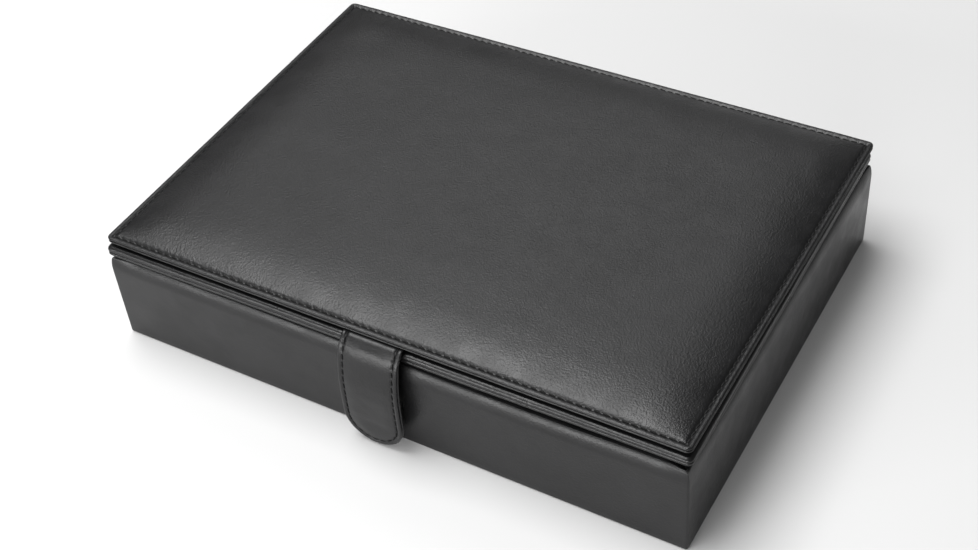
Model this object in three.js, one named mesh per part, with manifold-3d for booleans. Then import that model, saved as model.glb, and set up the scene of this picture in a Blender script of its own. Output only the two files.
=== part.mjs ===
// Poker chip case: a leather-wrapped box with moulded trays, a padded two-layer lid on a leather
// spine, and a closing strap with a flat magnetic clasp.
// Millimetres. The origin is the centre of the underside, +X runs to the right along the front,
// +Y to the spine at the back and +Z up. The lid is closed and the strap hangs down the front.
import * as THREE from 'three';
import { mergeVertices } from 'three/addons/utils/BufferGeometryUtils.js';
import Module from 'manifold-3d';

// ---- driving dimensions ----
const GAP = 0.3;             // clearance between pieces that touch
const WIDTH = 300;           // outside of the leather, along X
const DEPTH = 215;           // outside of the leather, along Y
const CORNER = 1.2;          // radius of the upright corners

const WRAP = 1.2;            // leather on the outside of the walls
const TURN_IN = 1;           // leather turned over the rim and under the floor, shaved thinner
const WALL = 3;              // wall board
const FLOOR = 2.5;           // floor board
const WALL_TOP = 49.5;       // top of the wall boards
const RIM_TOP = 52.6;        // crest of the rolled rim
const RIM_ROUND = 4.5;       // outer radius of the rolled rim
const TURN_IN_LOW = 38;      // lower end of the leather inside the rim
const TURN_UNDER = 12;       // width of the leather turned under the floor
const LINING = 0.8;          // velour on a thin card
const LINING_TOP = 49.4;

const TRAY_TOP = 27;
const CHANNEL_R = 20.2;      // radius of a chip channel: a 39 mm chip with room to lift it out
const CHANNEL_RIDGE = 2;     // material beside and between the channels at the top
const TRAY_END = 5;          // solid ends of the channels
const POCKET_WIDTH = 93;     // card decks lie across the middle tray
const POCKET_FLOOR = 7;
const POCKET_WALL = 3;
const DECK_DEPTH = 67;
const DICE_DEPTH = 19;

const LID_LOW = 53.4;        // underside of the lower lid layer
const LID_TOP = 58.2;        // top of the lower lid layer
const LID_ROUND = 2;         // radius along the edges of the lower lid layer
const LID_LEATHER = 1;
const LID_EDGE = 2.7;        // leather and filler along the edges of the lower lid layer
const LID_TOP_TURN = 15;     // leather turned over onto the top of the lid board
const PANEL_LOW = 58.5;      // underside of the padded panel
const BACKING = 1.3;         // thickness of the panel's backing
const COVER = 1.3;           // leather on top of the pad
const PANEL_X = 149.2;       // half width of the padded panel
const PANEL_FRONT = -105.5;
const PANEL_BACK = 108;
const PANEL_CORNER = 3;
const SEAM_INSET = 4;        // stitch line to panel edge
const CROWN = 4;             // rise of the padding above the seam
const CROWN_RUN = 32;        // distance from the seam over which the padding rises

const SPINE = 1;             // thickness of the leather spine
const SPINE_X = 146;         // its half width
const HINGE_Z = 53;          // height of the hinge line in the spine
const SPINE_LOW = 6;         // lower end of the spine on the box

const STRAP_WIDTH = 30.6;
const STRAP_TIP = 0.9;       // lowest point of the strap
const STRAP_LEATHER = 1.1;
const STRAP_CORE = 0.5;
const TAIL_LENGTH = 24;      // part of the strap glued between the lid layers

const CLASP_Z = 20;
const CUP_R = 9;
const CUP_DEEP = 2.5;
const DISC_R = 8.5;
const DISC_DEEP = 2;
const MAGNET_R = 6.8;
const MAGNET_DEEP = 1.4;

// ---- sizes that follow ----
const FRONT = -DEPTH / 2;
const BACK = DEPTH / 2;
const SIDE = WIDTH / 2;
const BOARD_X = SIDE - WRAP - GAP;               // outer face of the side boards
const BOARD_Y = BACK - WRAP - GAP;
const BOARD_IN_X = BOARD_X - WALL;               // inner face of the side boards
const BOARD_IN_Y = BOARD_Y - WALL;
const RIM_IN_X = BOARD_IN_X - GAP - TURN_IN;     // inside of the leather rim
const RIM_IN_Y = BOARD_IN_Y - GAP - TURN_IN;
const LINING_X = RIM_IN_X - GAP;
const LINING_Y = RIM_IN_Y - GAP;
const INSIDE_X = LINING_X - LINING;              // clear inside of the lining
const INSIDE_Y = LINING_Y - LINING;
const FLOOR_LOW = TURN_IN + GAP;                 // underside of the floor board
const FLOOR_TOP = FLOOR_LOW + FLOOR;
const TRAY_X = INSIDE_X - GAP;
const TRAY_Y = INSIDE_Y - GAP;
const TRAY_LOW = FLOOR_TOP + GAP;
const CHIP_TRAY_WIDTH = 4 * CHANNEL_R + 3 * CHANNEL_RIDGE;
const CARD_TRAY_X = TRAY_X - CHIP_TRAY_WIDTH - GAP;
const LID_BOARD_LOW = LID_LOW + LID_LEATHER + GAP;
const LID_BOARD_TOP = LID_TOP - LID_LEATHER - GAP;
const LID_BOARD_X = SIDE - LID_EDGE - GAP;
const LID_BOARD_Y = BACK - LID_EDGE - GAP;
const BACKING_TOP = PANEL_LOW + BACKING;
const COVER_LOW = BACKING_TOP + GAP;
const PANEL_MID_Y = (PANEL_FRONT + PANEL_BACK) / 2;
const PANEL_Y = (PANEL_BACK - PANEL_FRONT) / 2;
const SPINE_IN = BACK + GAP;

// ---- joining and cutting ----
const wasm = await Module();
wasm.setup();

function solid(geometry) {
  const plain = geometry.clone();
  plain.deleteAttribute('normal');
  plain.deleteAttribute('uv');
  const merged = mergeVertices(plain, 1e-5);
  const vertProperties = new Float32Array(merged.attributes.position.array);
  const triVerts = new Uint32Array(merged.index.array);
  return new wasm.Manifold(new wasm.Mesh({ numProp: 3, vertProperties, triVerts }));
}

function geometryOf(manifold) {
  const mesh = manifold.getMesh();
  const geometry = new THREE.BufferGeometry();
  geometry.setAttribute('position', new THREE.BufferAttribute(mesh.vertProperties, 3));
  geometry.setIndex(new THREE.BufferAttribute(mesh.triVerts, 1));
  geometry.computeVertexNormals();
  return geometry;
}

// ---- basic forms, all as manifold solids ----
function box(x0, x1, y0, y1, z0, z1) {
  const geometry = new THREE.BoxGeometry(x1 - x0, y1 - y0, z1 - z0);
  geometry.translate((x0 + x1) / 2, (y0 + y1) / 2, (z0 + z1) / 2);
  return solid(geometry);
}

function centredBox(halfX, halfY, z0, z1) {
  return box(-halfX, halfX, -halfY, halfY, z0, z1);
}

function roundedRectangle(halfX, halfY, radius) {
  const shape = new THREE.Shape();
  const quarter = Math.PI / 2;
  shape.absarc(halfX - radius, halfY - radius, radius, 0, quarter);
  shape.absarc(-halfX + radius, halfY - radius, radius, quarter, 2 * quarter);
  shape.absarc(-halfX + radius, -halfY + radius, radius, 2 * quarter, 3 * quarter);
  shape.absarc(halfX - radius, -halfY + radius, radius, 3 * quarter, 4 * quarter);
  return shape;
}

// An upright plate with rounded corners, its centre on the Z axis.
function plate(halfX, halfY, radius, z0, z1) {
  const shape = roundedRectangle(halfX, halfY, radius);
  const options = { depth: z1 - z0, bevelEnabled: false, curveSegments: 5 };
  return solid(new THREE.ExtrudeGeometry(shape, options).translate(0, 0, z0));
}

// A plate whose top and bottom edges are rounded as well.
function roundedPlate(halfX, halfY, round, z0, z1) {
  const inner = new THREE.Shape();
  inner.moveTo(-halfX + round, -halfY + round);
  inner.lineTo(halfX - round, -halfY + round);
  inner.lineTo(halfX - round, halfY - round);
  inner.lineTo(-halfX + round, halfY - round);
  inner.closePath();
  const options = {
    depth: z1 - z0 - 2 * round,
    bevelThickness: round,
    bevelSize: round,
    bevelSegments: 4,
  };
  const slab = solid(new THREE.ExtrudeGeometry(inner, options).translate(0, 0, z0 + round));
  return slab.intersect(plate(halfX, halfY, CORNER, z0, z1));
}

// A disc whose axis runs along Y.
function disc(radius, y0, y1, z) {
  const geometry = new THREE.CylinderGeometry(radius, radius, y1 - y0, 32);
  geometry.translate(0, (y0 + y1) / 2, z);
  return solid(geometry);
}

// ---- the box ----
function floorBoard() {
  return centredBox(BOARD_X, BOARD_Y, FLOOR_LOW, FLOOR_TOP);
}

function endBoard(side) {
  const low = side < 0 ? -BOARD_Y : BOARD_IN_Y;
  return box(-BOARD_X, BOARD_X, low, low + WALL, FLOOR_TOP + GAP, WALL_TOP);
}

// The front board has a shallow pocket in its outer face for the clasp's washer.
const WASHER_POCKET = 1.3;
const WASHER_R = 9.5;

function frontBoard() {
  const pocket = disc(WASHER_R + GAP, -BOARD_Y - 1, -BOARD_Y + WASHER_POCKET, CLASP_Z);
  return endBoard(-1).subtract(pocket);
}

function sideBoard(side) {
  const low = side < 0 ? -BOARD_X : BOARD_IN_X;
  const reach = BOARD_IN_Y - GAP;
  return box(low, low + WALL, -reach, reach, FLOOR_TOP + GAP, WALL_TOP);
}

// One leather skin: up the outside of the walls, over a rolled rim and down inside, and turned
// under the floor. The boards stand in the hollow of its C-shaped section.
function boxWrap() {
  const low = 0.1;
  const outside = roundedPlate(SIDE, BACK, RIM_ROUND, low - 2 * RIM_ROUND, RIM_TOP)
    .subtract(centredBox(SIDE + 1, BACK + 1, low - 3 * RIM_ROUND, low));
  const boards = centredBox(BOARD_X + GAP, BOARD_Y + GAP, TURN_IN, WALL_TOP + GAP);
  const turnIn = centredBox(BOARD_IN_X - GAP, BOARD_IN_Y - GAP, TURN_IN_LOW, WALL_TOP + 1);
  const mouth = centredBox(RIM_IN_X, RIM_IN_Y, TURN_IN_LOW - 1, RIM_TOP + 1);
  const under = centredBox(SIDE - TURN_UNDER, BACK - TURN_UNDER, -1, TURN_IN + 1);
  return outside.subtract(boards.subtract(turnIn)).subtract(mouth).subtract(under);
}

function bottomSheet() {
  const inset = TURN_UNDER + GAP;
  return plate(SIDE - inset, BACK - inset, 1, 0, TURN_IN);
}

function wallLining() {
  const low = TRAY_LOW;
  return centredBox(LINING_X, LINING_Y, low, LINING_TOP)
    .subtract(centredBox(INSIDE_X, INSIDE_Y, low - 1, LINING_TOP + 1));
}

// A moulded block with two half-round channels that run from front to back.
function chipTray(side) {
  const edge = TRAY_X - CHIP_TRAY_WIDTH;
  const x0 = side < 0 ? -TRAY_X : edge;
  let tray = box(x0, x0 + CHIP_TRAY_WIDTH, -TRAY_Y, TRAY_Y, TRAY_LOW, TRAY_TOP);
  for (const x of channelCentres(side)) {
    const length = 2 * (TRAY_Y - TRAY_END);
    const channel = new THREE.CylinderGeometry(CHANNEL_R, CHANNEL_R, length, 32);
    tray = tray.subtract(solid(channel.translate(x, 0, TRAY_TOP)));
  }
  return tray;
}

function channelCentres(side) {
  const first = TRAY_X - CHANNEL_RIDGE - CHANNEL_R;
  const pitch = 2 * CHANNEL_R + CHANNEL_RIDGE;
  return [side * first, side * (first - pitch)];
}

// Four pockets from back to front: two card decks, small pieces, a row of dice.
function cardTray() {
  const smallDepth = 2 * TRAY_Y - 5 * POCKET_WALL - 2 * DECK_DEPTH - DICE_DEPTH;
  let tray = centredBox(CARD_TRAY_X, TRAY_Y, TRAY_LOW, TRAY_TOP);
  let back = TRAY_Y - POCKET_WALL;
  for (const depth of [DECK_DEPTH, DECK_DEPTH, smallDepth, DICE_DEPTH]) {
    const half = POCKET_WIDTH / 2;
    tray = tray.subtract(box(-half, half, back - depth, back, POCKET_FLOOR, TRAY_TOP + 1));
    back -= depth + POCKET_WALL;
  }
  return tray;
}

function boxSpine() {
  return box(-SPINE_X, SPINE_X, SPINE_IN, SPINE_IN + SPINE, SPINE_LOW, HINGE_Z - 2.5);
}

// ---- the clasp ----
const CUP_BACK = FRONT - GAP;
const CUP_FACE = CUP_BACK - CUP_DEEP;

function claspCup() {
  const recess = disc(MAGNET_R + GAP, CUP_FACE - 1, CUP_FACE + MAGNET_DEEP + GAP, CLASP_Z);
  return disc(CUP_R, CUP_FACE, CUP_BACK, CLASP_Z).subtract(recess);
}

function claspMagnet() {
  return disc(MAGNET_R, CUP_FACE, CUP_FACE + MAGNET_DEEP, CLASP_Z);
}

function claspWasher() {
  const face = -BOARD_Y + 0.2;
  return disc(WASHER_R, face, face + 0.7, CLASP_Z);
}

function claspDisc() {
  const back = CUP_FACE - GAP;
  return disc(DISC_R, back - DISC_DEEP, back, CLASP_Z);
}

// ---- the lower lid layer ----
function lidBoard() {
  return centredBox(LID_BOARD_X, LID_BOARD_Y, LID_BOARD_LOW, LID_BOARD_TOP);
}

function lidFiller() {
  const inset = LID_TOP_TURN + GAP;
  return centredBox(SIDE - inset, BACK - inset, LID_BOARD_TOP + GAP, LID_TOP)
    .subtract(tailSlot());
}

function lidWrap() {
  const low = LID_BOARD_LOW - GAP;
  const high = LID_BOARD_TOP + GAP;
  const board = centredBox(LID_BOARD_X + GAP, LID_BOARD_Y + GAP, low, high);
  const topMouth = centredBox(SIDE - LID_TOP_TURN, BACK - LID_TOP_TURN, LID_BOARD_TOP, LID_TOP + 1);
  const lowMouth = centredBox(SIDE - TURN_UNDER, BACK - TURN_UNDER, LID_LOW - 1, LID_BOARD_LOW);
  return roundedPlate(SIDE, BACK, LID_ROUND, LID_LOW, LID_TOP)
    .subtract(board)
    .subtract(topMouth)
    .subtract(lowMouth)
    .subtract(tailSlot());
}

function lidLining() {
  const inset = TURN_UNDER + GAP;
  return centredBox(SIDE - inset, BACK - inset, LID_LOW + 0.1, LID_BOARD_LOW - GAP);
}

// ---- the padded panel ----
function panelBacking() {
  const flat = plate(PANEL_X, PANEL_Y, PANEL_CORNER, PANEL_LOW, BACKING_TOP);
  return flat.translate(0, PANEL_MID_Y, 0);
}

// Rise of the padding at a point: nothing at the seam, then a smooth swell to the full crown.
function crown(x, y) {
  const inX = PANEL_X - SEAM_INSET - Math.abs(x);
  const inY = PANEL_Y - SEAM_INSET - Math.abs(y - PANEL_MID_Y);
  const swell = (d) => 1 - (1 - THREE.MathUtils.clamp(d / CROWN_RUN, 0, 1)) ** 3;
  return CROWN * swell(inX) * swell(inY);
}

// A sheet on a grid whose lines crowd towards the edges, where the swell is steep.
function grid(halfX, halfY, z0, z1, steps) {
  const geometry = new THREE.BoxGeometry(2, 2, z1 - z0, steps, steps, 1);
  const place = geometry.attributes.position;
  for (let i = 0; i < place.count; i++) {
    const x = halfX * Math.sin((place.getX(i) * Math.PI) / 2);
    const y = halfY * Math.sin((place.getY(i) * Math.PI) / 2);
    place.setXYZ(i, x, y + PANEL_MID_Y, place.getZ(i) + (z0 + z1) / 2);
  }
  return geometry;
}

function topCover() {
  const geometry = grid(PANEL_X, PANEL_Y, COVER_LOW, COVER_LOW + COVER, 24);
  const place = geometry.attributes.position;
  for (let i = 0; i < place.count; i++) {
    place.setZ(i, place.getZ(i) + crown(place.getX(i), place.getY(i)));
  }
  const corners = plate(PANEL_X, PANEL_Y, PANEL_CORNER, 0, 100).translate(0, PANEL_MID_Y, 0);
  return solid(geometry).intersect(corners);
}

// The pad lies flat on the backing and fills the crown, 0.3 mm under the leather.
function foamPad() {
  const edge = SEAM_INSET + 5;
  const low = COVER_LOW;
  const geometry = grid(PANEL_X - edge, PANEL_Y - edge, low, low + 1, 20);
  const place = geometry.attributes.position;
  for (let i = 0; i < place.count; i++) {
    if (place.getZ(i) > low + 0.5) {
      const rise = crown(place.getX(i), place.getY(i));
      place.setZ(i, COVER_LOW - GAP + rise - 0.1);
    }
  }
  return solid(geometry);
}

// ---- the spine and the strap ----
function lidSpine() {
  return box(-SPINE_X, SPINE_X, SPINE_IN, SPINE_IN + SPINE, HINGE_Z + 1.2, LID_TOP);
}

const TAIL_X = STRAP_WIDTH / 2 - 0.3;
const TAIL_FRONT = -105.4;

function tailSlot() {
  const half = STRAP_WIDTH / 2 + GAP;
  return box(-half, half, FRONT - 1, TAIL_FRONT + TAIL_LENGTH + GAP, LID_BOARD_TOP, LID_TOP + 1);
}

function strapTail() {
  return box(-TAIL_X, TAIL_X, TAIL_FRONT, TAIL_FRONT + TAIL_LENGTH, LID_BOARD_TOP + GAP, LID_TOP);
}

// The strap's outer face in a section across X: a shoulder over the lid's edge, then a gentle
// bow outwards and a straight hanging end. Points are [y, z].
const STRAP_FACE = [
  [-108.2, 57.7],
  [-109.6, 56.9],
  [-111.2, 55.2],
  [-112.7, 52.2],
  [-114, 47.5],
  [-115.3, 41.5],
  [-116.1, 35],
  [-116.2, 28],
  [-116.2, 10],
  [-116.1, -1],
];

// The strap's whole thickness at the shoulder, and where it reaches its full thickness.
const SHOULDER_SCALE = 0.28;
const FULL_BY = 6;

// A layer of the strap between two depths under its outer face, before it is cut to outline.
function strapLayer(from, to) {
  const curve = new THREE.CatmullRomCurve3(STRAP_FACE.map(([y, z]) => new THREE.Vector3(0, y, z)));
  const points = curve.getPoints(36);
  const face = [];
  const back = [];
  for (let i = 0; i < points.length; i++) {
    const t = curve.getTangent(i / (points.length - 1));
    const inward = new THREE.Vector3(0, -t.z, t.y).normalize();
    const scale = SHOULDER_SCALE + (1 - SHOULDER_SCALE) * Math.min(1, i / FULL_BY);
    face.push(points[i].clone().addScaledVector(inward, from * scale));
    back.push(points[i].clone().addScaledVector(inward, to * scale));
  }
  const outline = [...face, ...back.reverse()];
  const shape = new THREE.Shape(outline.map((p) => new THREE.Vector2(p.y, p.z)));
  const options = { depth: STRAP_WIDTH, bevelEnabled: false };
  const geometry = new THREE.ExtrudeGeometry(shape, options);
  const stand = new THREE.Matrix4().set(0, 0, 1, -STRAP_WIDTH / 2, 1, 0, 0, 0, 0, 1, 0, 0, 0, 0, 0, 1);
  return solid(geometry.applyMatrix4(stand)).intersect(strapOutline());
}

// The strap seen from the front: straight sides and a full round end.
function strapOutline() {
  const r = STRAP_WIDTH / 2;
  const shape = new THREE.Shape();
  shape.moveTo(r, 70);
  shape.lineTo(-r, 70);
  shape.absarc(0, STRAP_TIP + r, r, Math.PI, 2 * Math.PI);
  shape.closePath();
  const options = { depth: 40, bevelEnabled: false, curveSegments: 20 };
  const geometry = new THREE.ExtrudeGeometry(shape, options);
  return solid(geometry.rotateX(Math.PI / 2).translate(0, -90, 0));
}

const CORE_FROM = STRAP_LEATHER + GAP;
const INNER_FROM = CORE_FROM + STRAP_CORE + GAP;

function strapOuter() {
  return strapLayer(0, STRAP_LEATHER);
}

function strapStiffener() {
  const inset = 3;
  const window = box(-STRAP_WIDTH / 2 + inset, STRAP_WIDTH / 2 - inset, -130, -90, 8, 52);
  return strapLayer(CORE_FROM, CORE_FROM + STRAP_CORE).intersect(window);
}

function strapInner() {
  return strapLayer(INNER_FROM, INNER_FROM + STRAP_LEATHER);
}

// ---- materials ----
function material(color, roughness, metalness = 0) {
  return new THREE.MeshStandardMaterial({ color, roughness, metalness });
}

const leather = () => material(0x161617, 0.42);
const velour = () => material(0x101012, 0.95);
const greyboard = () => material(0x8f8a80, 0.9);
const flock = () => material(0x131315, 0.98);
const foam = () => material(0xd8d4c4, 0.95);
const steel = () => material(0xb8b8b6, 0.3, 1);

// ---- assembly ----
const group = new THREE.Group();

function add(name, manifold, finish) {
  const mesh = new THREE.Mesh(geometryOf(manifold), finish);
  mesh.name = name;
  group.add(mesh);
}

add('base_floor_board', floorBoard(), greyboard());
add('base_front_board', frontBoard(), greyboard());
add('base_back_board', endBoard(1), greyboard());
add('base_left_board', sideBoard(-1), greyboard());
add('base_right_board', sideBoard(1), greyboard());
add('base_wrap', boxWrap(), leather());
add('base_bottom_sheet', bottomSheet(), leather());
add('base_lining', wallLining(), velour());
add('chip_tray_left', chipTray(-1), flock());
add('chip_tray_right', chipTray(1), flock());
add('card_tray', cardTray(), flock());
add('base_spine', boxSpine(), leather());
add('clasp_cup', claspCup(), steel());
add('clasp_magnet', claspMagnet(), steel());
add('clasp_washer', claspWasher(), steel());

add('lid_board', lidBoard(), greyboard());
add('lid_filler', lidFiller(), greyboard());
add('lid_wrap', lidWrap(), leather());
add('lid_lining', lidLining(), velour());
add('panel_backing', panelBacking(), leather());
add('foam_pad', foamPad(), foam());
add('top_cover', topCover(), leather());
add('lid_spine', lidSpine(), leather());
add('strap_tail', strapTail(), leather());

add('strap_outer', strapOuter(), leather());
add('strap_stiffener', strapStiffener(), greyboard());
add('strap_inner', strapInner(), leather());
add('clasp_disc', claspDisc(), steel());

export default group;
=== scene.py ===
"""Poker chip case, shown closed on a pale floor: black leather over board, a padded stitched lid
and a strap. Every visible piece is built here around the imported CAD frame, in metres."""

import math

import bmesh
import bpy
import numpy as np
from mathutils import Matrix, Vector


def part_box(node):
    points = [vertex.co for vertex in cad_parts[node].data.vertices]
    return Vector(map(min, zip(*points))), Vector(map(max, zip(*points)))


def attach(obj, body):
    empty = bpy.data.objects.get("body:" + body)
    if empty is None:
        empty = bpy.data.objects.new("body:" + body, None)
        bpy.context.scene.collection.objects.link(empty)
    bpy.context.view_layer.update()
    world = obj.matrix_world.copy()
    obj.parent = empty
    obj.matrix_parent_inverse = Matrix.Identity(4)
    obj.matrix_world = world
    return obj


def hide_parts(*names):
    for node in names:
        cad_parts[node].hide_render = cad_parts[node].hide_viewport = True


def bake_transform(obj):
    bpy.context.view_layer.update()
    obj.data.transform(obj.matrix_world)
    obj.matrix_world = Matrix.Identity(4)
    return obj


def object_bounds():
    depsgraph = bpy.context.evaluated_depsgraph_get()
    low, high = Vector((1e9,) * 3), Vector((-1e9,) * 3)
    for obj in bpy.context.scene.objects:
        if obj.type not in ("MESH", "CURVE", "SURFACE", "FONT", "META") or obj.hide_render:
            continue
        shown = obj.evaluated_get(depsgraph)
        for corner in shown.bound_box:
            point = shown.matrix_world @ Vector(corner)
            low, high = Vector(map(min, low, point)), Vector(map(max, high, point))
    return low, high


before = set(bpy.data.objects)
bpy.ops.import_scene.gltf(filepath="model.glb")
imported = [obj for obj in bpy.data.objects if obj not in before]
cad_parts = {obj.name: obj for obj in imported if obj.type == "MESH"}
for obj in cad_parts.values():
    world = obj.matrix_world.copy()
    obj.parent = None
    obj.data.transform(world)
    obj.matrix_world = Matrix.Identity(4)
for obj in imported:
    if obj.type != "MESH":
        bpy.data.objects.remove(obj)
cad_low, cad_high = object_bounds()

MM = 0.001


# ---- camera, lights and floor
# The camera was fitted to the case's edges in the photograph.
LENS = 57.69
EYE = Vector((0.3055, -0.4773, 0.5410))
AIM = Vector((0.0270, -0.0509, 0.0615))
TILT_DEGREES = -5.39

# Each softbox: name, azimuth and elevation in degrees, width and height, radiance.
SOFTBOXES = (
    ("key_softbox", 282, 72, (1.1, 0.85), 10.0),
    ("back_left_softbox", 211, 47, (1.0, 0.7), 2.2),
    ("front_high_softbox", 348, 52, (0.6, 0.45), 4.0),
    ("front_low_softbox", 356, 13, (2.0, 0.50), 9.5),
    ("back_low_softbox", 180, 7, (1.4, 0.3), 0.8),
)
LIGHT_DISTANCE = 1.5
LIGHT_AIM = Vector((0, 0, 0.03))


def add_object(name, data):
    made = bpy.data.objects.new(name, data)
    bpy.context.scene.collection.objects.link(made)
    return made


def add_camera():
    data = bpy.data.cameras.new("camera")
    data.sensor_width = 36
    data.lens = LENS
    data.clip_start, data.clip_end = 0.01, 50
    camera = add_object("camera", data)
    camera.location = EYE
    look = (AIM - EYE).to_track_quat("-Z", "Y").to_matrix()
    camera.rotation_euler = (look @ Matrix.Rotation(math.radians(TILT_DEGREES), 3, "Z")).to_euler()
    bpy.context.scene.camera = camera


def add_softbox(name, azimuth, elevation, size, radiance):
    """A softbox facing the case; azimuth 0 is in front of it and 90 to its right."""
    data = bpy.data.lights.new(name, "AREA")
    data.shape = "RECTANGLE"
    data.size, data.size_y = size
    data.energy = radiance * size[0] * size[1] * math.pi
    a, e = math.radians(azimuth), math.radians(elevation)
    away = Vector((math.sin(a) * math.cos(e), -math.cos(a) * math.cos(e), math.sin(e)))
    light = add_object(name, data)
    light.location = away * LIGHT_DISTANCE + LIGHT_AIM
    light.rotation_euler = (-away).to_track_quat("-Z", "Y").to_euler()


def add_world(strength):
    world = bpy.data.worlds.new("studio")
    world.use_nodes = True
    background = world.node_tree.nodes["Background"]
    background.inputs["Color"].default_value = (1, 1, 1, 1)
    background.inputs["Strength"].default_value = strength
    bpy.context.scene.world = world


def add_floor():
    half = 6.0
    low = cad_low.z
    corners = [(-half, -half, low), (half, -half, low), (half, half, low), (-half, half, low)]
    floor = mesh_object("studio_floor", corners, [(0, 1, 2, 3)])
    material = new_material("floor_paper", (0.58, 0.58, 0.58), 0.9)
    floor.data.materials.append(material)


# ---- node materials
def new_material(name, colour, roughness, **sockets):
    material = bpy.data.materials.new(name)
    material.use_nodes = True
    shader = material.node_tree.nodes["Principled BSDF"]
    shader.inputs["Base Color"].default_value = (*colour, 1)
    shader.inputs["Roughness"].default_value = roughness
    for socket, value in sockets.items():
        shader.inputs[socket.replace("_", " ")].default_value = value
    return material


class Nodes:
    """Short calls for building one material's node tree."""

    def __init__(self, material):
        self.tree = material.node_tree
        self.shader = self.tree.nodes["Principled BSDF"]
        self.place = self.tree.nodes.new("ShaderNodeTexCoord").outputs["Object"]

    def node(self, kind, inputs=(), **settings):
        made = self.tree.nodes.new(kind)
        for key, value in settings.items():
            setattr(made, key, value)
        for socket, value in dict(inputs).items():
            if isinstance(value, bpy.types.NodeSocket):
                self.tree.links.new(value, made.inputs[socket])
            else:
                made.inputs[socket].default_value = value
        return made

    def noise(self, size, detail=2.0, distortion=0.0, rough=0.5):
        inputs = {"Vector": self.place, "Scale": 1 / size, "Detail": detail}
        inputs.update({"Roughness": rough, "Distortion": distortion})
        return self.node("ShaderNodeTexNoise", inputs).outputs["Fac"]

    def warped(self, size, amount):
        """The coordinates, shaken by noise, so that cells and lines lose their straightness."""
        shake = self.node("ShaderNodeTexNoise", {"Vector": self.place, "Scale": 1 / size})
        centred = {0: shake.outputs["Color"], 1: (0.5, 0.5, 0.5)}
        away = self.node("ShaderNodeVectorMath", centred, operation="SUBTRACT").outputs[0]
        sized = {0: away, "Scale": amount}
        sized = self.node("ShaderNodeVectorMath", sized, operation="SCALE").outputs[0]
        both = {0: self.place, 1: sized}
        return self.node("ShaderNodeVectorMath", both, operation="ADD").outputs[0]

    def cells(self, size, place=None, feature="F1"):
        inputs = {"Vector": place or self.place, "Scale": 1 / size}
        return self.node("ShaderNodeTexVoronoi", inputs, feature=feature).outputs["Distance"]

    def span(self, value, low, high, to_low=0.0, to_high=1.0):
        inputs = {0: value, 1: low, 2: high, 3: to_low, 4: to_high}
        return self.node("ShaderNodeMapRange", inputs).outputs[0]

    def maths(self, operation, a, b):
        return self.node("ShaderNodeMath", {0: a, 1: b}, operation=operation).outputs[0]

    def colours(self, factor, low, high):
        mixed = self.node("ShaderNodeMix", {0: factor}, data_type="RGBA")
        mixed.inputs[6].default_value = (*low, 1)
        mixed.inputs[7].default_value = (*high, 1)
        return mixed.outputs[2]

    def bump(self, height, depth, below=None):
        inputs = {"Height": height, "Distance": depth, "Strength": 1.0}
        if below is not None:
            inputs["Normal"] = below
        return self.node("ShaderNodeBump", inputs).outputs["Normal"]

    def sum_of(self, a, share_a, b, share_b):
        """Two values added, each by its share."""
        return self.maths("ADD", self.maths("MULTIPLY", a, share_a), self.maths("MULTIPLY", b, share_b))

    def tint(self, tone, low, high, dark, light):
        """The base colour: dark where the tone is low, light where it is high."""
        self.connect("Base Color", self.colours(self.span(tone, low, high), dark, light))

    def connect(self, socket, value):
        self.tree.links.new(value, self.shader.inputs[socket])


def leather(name, dark, light, roughness, grain=1.0, creases=1.0):
    """Satin black leather: pebbled grain, fine creases, and slow changes of colour and polish."""
    material = new_material(name, light, roughness, Specular_IOR_Level=0.36)
    n = Nodes(material)
    n.tint(n.sum_of(n.noise(28 * MM, 3), 0.7, n.noise(1.6 * MM, 2), 0.3), 0.3, 0.7, dark, light)
    polish = n.span(n.noise(11 * MM, 4), 0.3, 0.7, roughness - 0.05, roughness + 0.07)
    n.connect("Roughness", polish)
    shaken = n.warped(2.6 * MM, 1.1 * MM)
    bent = n.warped(9 * MM, 6 * MM)
    lines = n.span(n.cells(5 * MM, bent, "DISTANCE_TO_EDGE"), 0.0, 0.09)
    where = n.span(n.noise(26 * MM, 2), 0.45, 0.62)
    layers = (
        (n.cells(1.0 * MM, shaken), 0.085 * grain),
        (n.cells(0.6 * MM, shaken), 0.05 * grain),
        (n.noise(1.5 * MM, 4, 0.8, 0.6), 0.095 * creases),
        (n.maths("MULTIPLY", lines, where), 0.02 * creases),
        (n.noise(9 * MM, 3), 0.10 * creases),
    )
    normal = None
    for height, depth in layers:
        normal = n.bump(height, depth * MM, below=normal)
    n.connect("Normal", normal)
    return material


def cloth(name, dark, light, nap, sheen):
    """Short-pile velour or flock: no gloss, a soft sheen and a nap brushed unevenly."""
    material = new_material(name, light, 0.95, Sheen_Weight=sheen, Sheen_Roughness=0.5)
    n = Nodes(material)
    brushed = n.noise(9 * MM, 3, 0.6)
    pile = n.noise(nap, 3)
    n.tint(n.sum_of(brushed, 0.55, pile, 0.45), 0.35, 0.65, dark, light)
    normal = n.bump(pile, 0.12 * MM)
    n.connect("Normal", n.bump(brushed, 0.2 * MM, below=normal))
    return material


def board(name, dark, light):
    """Grey fibreboard: flecks, a hazy tone and a dull, fibrous surface."""
    material = new_material(name, light, 0.9)
    n = Nodes(material)
    flecks = n.cells(0.9 * MM, n.warped(1.5 * MM, 1.2 * MM))
    n.tint(n.sum_of(flecks, 0.5, n.noise(6 * MM, 4), 0.6), 0.25, 0.75, dark, light)
    n.connect("Normal", n.bump(flecks, 0.05 * MM))
    return material


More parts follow.
